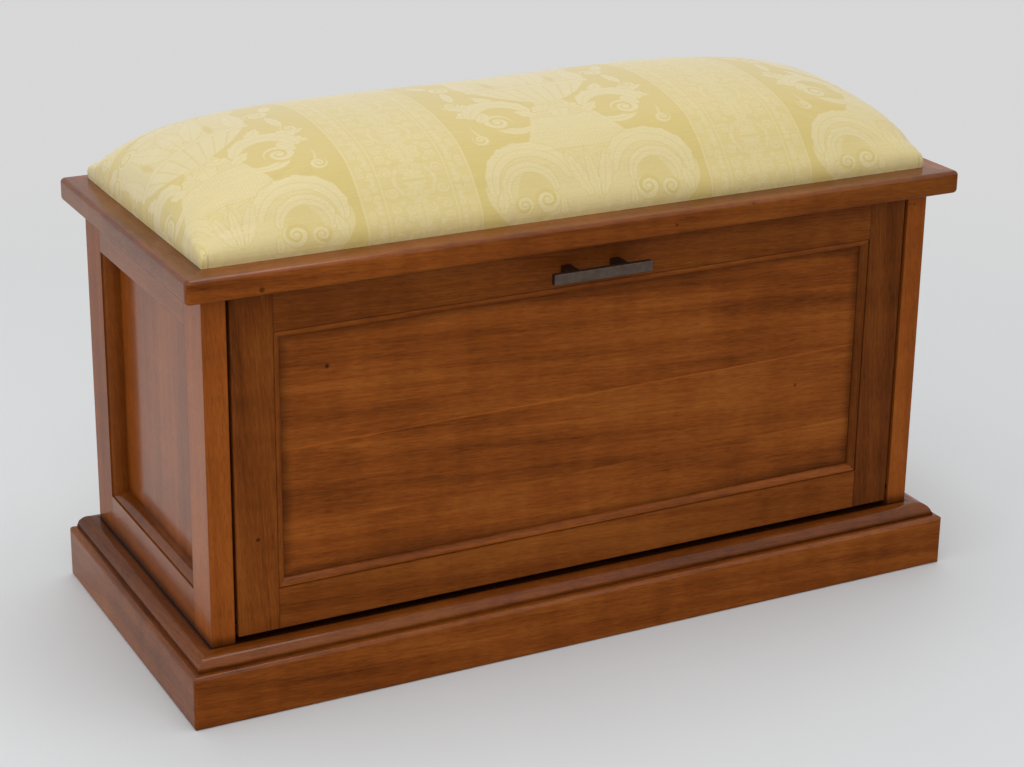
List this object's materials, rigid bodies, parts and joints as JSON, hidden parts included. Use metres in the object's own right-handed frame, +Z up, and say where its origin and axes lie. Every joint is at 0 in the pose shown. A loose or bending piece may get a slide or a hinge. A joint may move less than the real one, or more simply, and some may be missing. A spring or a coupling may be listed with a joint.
{
  "type": "storage bench",
  "caption": "Storage bench with a crowned fabric seat pad in a mitred wooden top frame, panelled sides, a moulded plinth and a drop front with a bar handle.",
  "frame": {"origin": "on the floor, under the middle of the plinth", "axes": "+X to the right as the drop front is faced, +Y from front to back, +Z up"},
  "size_m": [1.018, 0.454, 0.6285],
  "materials": {
    "stained_wood": "satin stain",
    "carcass_board": "bare plywood",
    "pale_wood": "bare softwood",
    "pad_cover": "woven damask",
    "pad_foam": "open foam",
    "handle_iron": "dark waxed",
    "steel": "plain",
    "brass": "plain",
    "catch_case": "matte"
  },
  "bodies": {
    "carcass": {"back_bottom_rail": "stained_wood", "back_panel": "carcass_board", "back_top_rail": "stained_wood", "base_cap_back": "stained_wood", "base_cap_front": "stained_wood", "base_cap_left": "stained_wood", "base_cap_right": "stained_wood", "bottom_cleats": "pale_wood", "bottom_panel": "carcass_board", "catch_magnets": "catch_case", "flap_stops": "pale_wood", "front_base_rail": "stained_wood", "front_top_rail": "stained_wood", "left_bottom_rail": "stained_wood", "left_front_stile": "stained_wood", "left_panel": "stained_wood", "left_panel_beads": "stained_wood", "left_rear_stile": "stained_wood", "left_top_rail": "stained_wood", "pivot_bushes": "brass", "plinth_back": "stained_wood", "plinth_front": "stained_wood", "plinth_left": "stained_wood", "plinth_right": "stained_wood", "plinth_screws": "steel", "right_bottom_rail": "stained_wood", "right_front_stile": "stained_wood", "right_panel": "stained_wood", "right_panel_beads": "stained_wood", "right_rear_stile": "stained_wood", "right_top_rail": "stained_wood", "seat_board": "carcass_board", "seat_cover": "pad_cover", "seat_foam": "pad_foam", "seat_screws": "steel", "stay_pins": "steel", "stay_plates": "steel", "top_back": "stained_wood", "top_front": "stained_wood", "top_left": "stained_wood", "top_right": "stained_wood", "top_screws": "steel"},
    "flap": {"flap_left_stile": "stained_wood", "flap_right_stile": "stained_wood", "flap_top_rail": "stained_wood", "flap_bottom_rail": "stained_wood", "flap_panel": "stained_wood", "flap_bead_top": "stained_wood", "flap_bead_bottom": "stained_wood", "flap_bead_left": "stained_wood", "flap_bead_right": "stained_wood", "handle_bar": "handle_iron", "handle_posts": "handle_iron", "handle_screws": "steel", "pivot_pins": "steel", "stay_arm_left": "steel", "stay_arm_right": "steel", "stay_screws": "steel", "catch_plates": "steel"}
  },
  "joints": [
    {"name": "flap_hinge", "type": "hinge", "parent": "carcass", "child": "flap", "pos_m": [0, -0.184, 0.1025], "axis": [1, 0, 0], "range_deg": [0, 90]}
  ]
}
